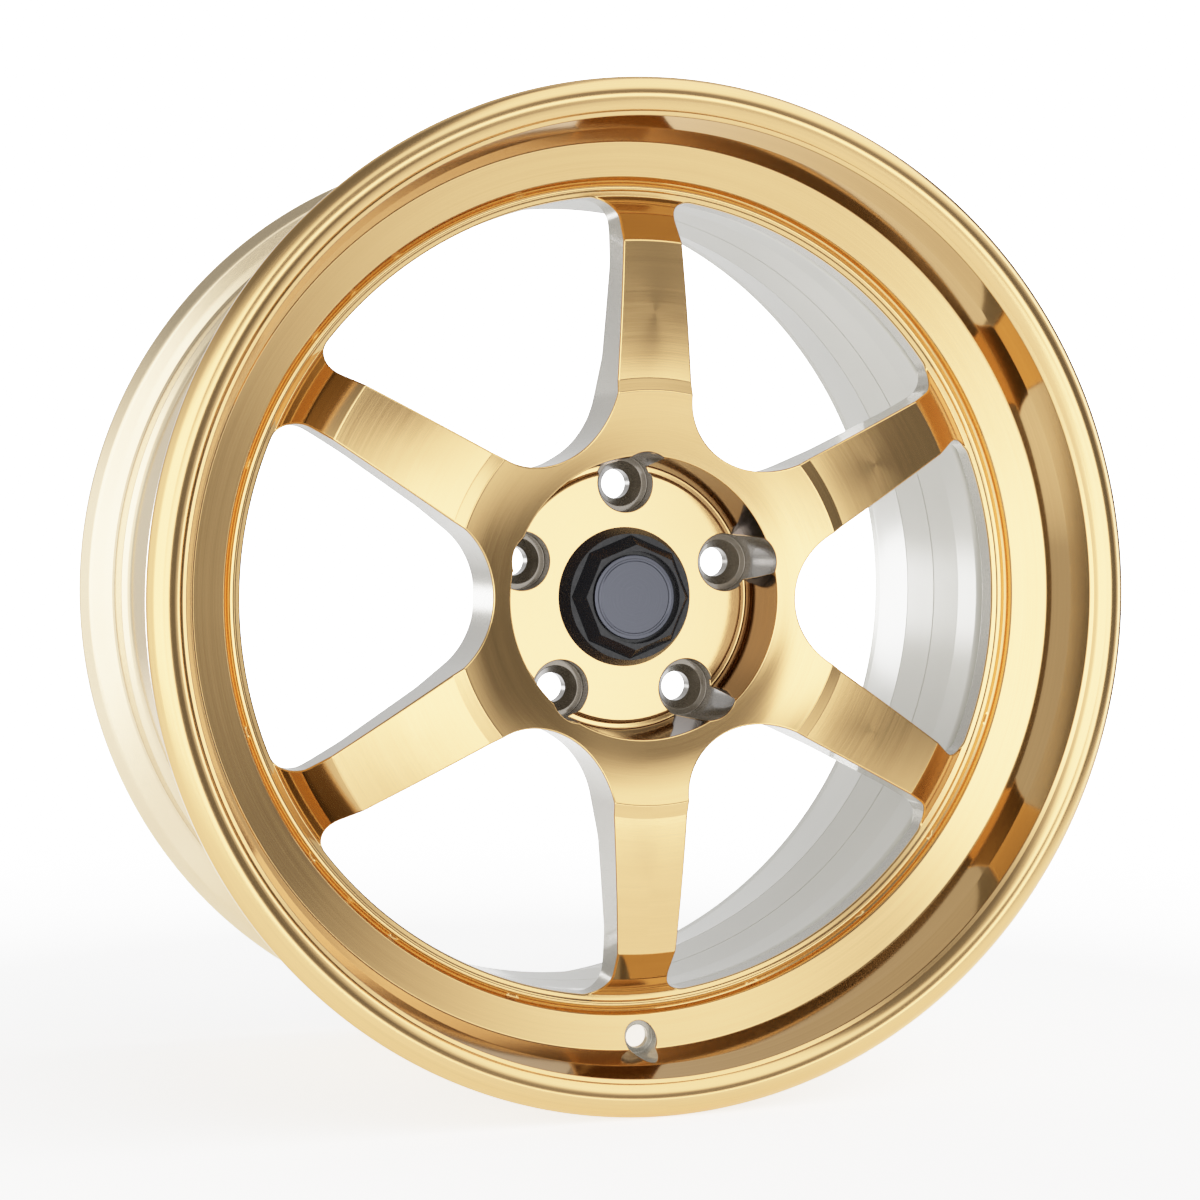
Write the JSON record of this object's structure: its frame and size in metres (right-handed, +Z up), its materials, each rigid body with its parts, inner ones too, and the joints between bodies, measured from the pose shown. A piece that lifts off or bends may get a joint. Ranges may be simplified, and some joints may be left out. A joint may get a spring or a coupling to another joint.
{
  "type": "racing wheel rim",
  "caption": "Forged one-piece racing wheel rim with straight flat spokes, a wide rounded lip, a deep face band, a dished hub and a pull-off centre cap.",
  "frame": {"origin": "on the wheel's axis, half way between the outer faces of the two rim flanges", "axes": "+Y along the axle toward the car, so the painted face looks toward -Y; +Z up with one spoke and one bolt hole at the top and the valve hole at the bottom; +X to the right seen from the painted face"},
  "size_m": [0.4969, 0.25, 0.497],
  "materials": {
    "bronze_brushed": "brushed forged aluminium under a tinted bronze clear coat",
    "bronze_barrel": "satin pale bronze clear coat on turned aluminium",
    "black_plastic": "gloss black moulded plastic",
    "spring_wire": "plain spring wire",
    "emblem_metal": "satin blue-grey anodised disc",
    "adhesive_foam": "black foam adhesive pad"
  },
  "bodies": {
    "wheel": {"outer_flange": "bronze_brushed", "outer_bead_seat": "bronze_brushed", "face_band": "bronze_brushed", "drop_centre": "bronze_barrel", "rear_barrel": "bronze_barrel", "inner_bead_seat": "bronze_barrel", "inner_flange": "bronze_barrel", "hub": "bronze_brushed", "spoke_1": "bronze_brushed", "spoke_2": "bronze_brushed", "spoke_3": "bronze_brushed", "spoke_4": "bronze_brushed", "spoke_5": "bronze_brushed", "spoke_6": "bronze_brushed"},
    "cap": {"cap_body": "black_plastic", "cap_spring_ring": "spring_wire", "cap_emblem": "emblem_metal", "cap_adhesive": "adhesive_foam"}
  },
  "joints": [
    {"name": "cap_pull", "type": "slide", "parent": "wheel", "child": "cap", "axis": [0, -1, 0], "range_m": [0, 0.085]}
  ]
}
